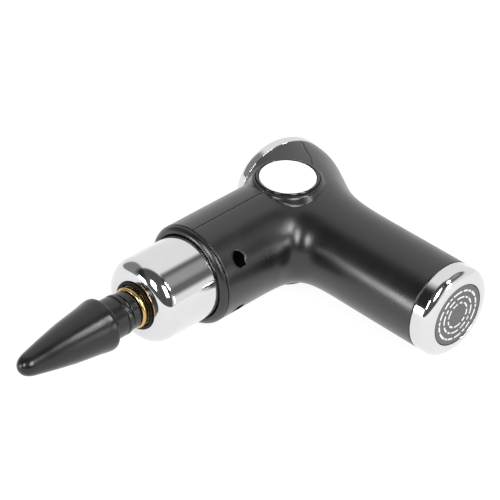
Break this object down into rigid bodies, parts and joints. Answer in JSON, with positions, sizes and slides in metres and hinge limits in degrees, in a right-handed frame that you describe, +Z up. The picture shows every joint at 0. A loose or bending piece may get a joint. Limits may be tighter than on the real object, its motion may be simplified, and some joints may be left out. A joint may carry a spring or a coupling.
{
  "type": "massage gun",
  "caption": "Mini massage gun lying on its side: barrel, handle and leaning top limb, bright end rings, side button and a pull-off rounded cone head on a reciprocating piston.",
  "frame": {"origin": "on the flat badge disc of the lower side, straight under the crossing of the barrel and handle axes", "axes": "+X towards the back of the barrel (the nose points to -X), +Y away from the handle, +Z up when the gun lies on its side"},
  "size_m": [0.2, 0.1291, 0.049],
  "materials": {
    "satin_black_plastic": "satin",
    "gloss_black_plastic": "gloss",
    "chrome": "mirror",
    "white_plastic": "satin",
    "dark_grey_plastic": "matt",
    "brass": "satin",
    "black_rubber": "matt",
    "steel": "machined",
    "copper_winding": "enamelled",
    "green_board": "satin",
    "cell_sleeve": "shrink film",
    "pale_nylon": "matt"
  },
  "bodies": {
    "body": {"main_housing": "satin_black_plastic", "top_cover": "satin_black_plastic", "barrel_trim_ring": "satin_black_plastic", "button_bezel": "gloss_black_plastic", "badge_bezel": "gloss_black_plastic", "nose_collar": "chrome", "top_ring": "chrome", "handle_end_ring": "chrome", "badge_disc": "dark_grey_plastic", "bearing_carrier": "dark_grey_plastic", "front_bushing": "dark_grey_plastic", "middle_bushing": "dark_grey_plastic", "rear_guide": "dark_grey_plastic", "motor_mount": "dark_grey_plastic", "top_cap": "dark_grey_plastic", "handle_end_disc": "dark_grey_plastic", "control_chip": "dark_grey_plastic", "socket_tongue": "dark_grey_plastic", "guide_damper": "black_rubber", "nose_seal": "black_rubber", "battery_sleeve": "black_rubber", "motor_bearing_low": "steel", "motor_bearing_high": "steel", "stator_core": "steel", "button_switch": "steel", "board_capacitor": "steel", "charge_socket": "steel", "housing_screw_upper": "steel", "housing_screw_lower": "steel", "stator_winding": "copper_winding", "button_board": "green_board", "control_board": "green_board", "battery_cell_1": "cell_sleeve", "battery_cell_2": "cell_sleeve", "battery_cell_3": "cell_sleeve", "battery_plate": "pale_nylon"},
    "crank": {"crank_disc": "steel", "counterweight": "brass", "crank_pin": "steel", "motor_shaft": "steel", "rotor_magnets": "steel", "rotor_bell": "steel"},
    "rod": {"connecting_rod": "steel", "crank_bearing": "steel", "wrist_pin": "steel"},
    "piston": {"piston_tube": "steel", "brass_socket_ring": "brass"},
    "head": {"massage_head": "black_rubber", "head_stem": "black_rubber", "stem_o_ring_front": "black_rubber", "stem_o_ring_rear": "black_rubber"},
    "button": {"button_disc": "white_plastic"}
  },
  "joints": [
    {"name": "motor_spin", "type": "hinge", "parent": "body", "child": "crank", "pos_m": [0.009, 0, 0.0245], "axis": [0, 1, 0], "continuous": true},
    {"name": "rod_follow", "type": "hinge", "parent": "crank", "child": "rod", "pos_m": [0.0055, 0, 0.0245], "axis": [0, 1, 0], "continuous": true},
    {"name": "piston_stroke", "type": "slide", "parent": "body", "child": "piston", "axis": [1, 0, 0], "range_m": [0, 0.007]},
    {"name": "head_pull", "type": "slide", "parent": "piston", "child": "head", "axis": [-1, 0, 0], "range_m": [0, 0.03]},
    {"name": "button_press", "type": "slide", "parent": "body", "child": "button", "axis": [0, 0, -1], "range_m": [0, 0.0006], "stiffness_N_per_m": 1500, "springref_m": -0.0004}
  ],
  "couplings": [
    {"joint": "rod_follow", "follows": "motor_spin", "ratio": -1}
  ]
}
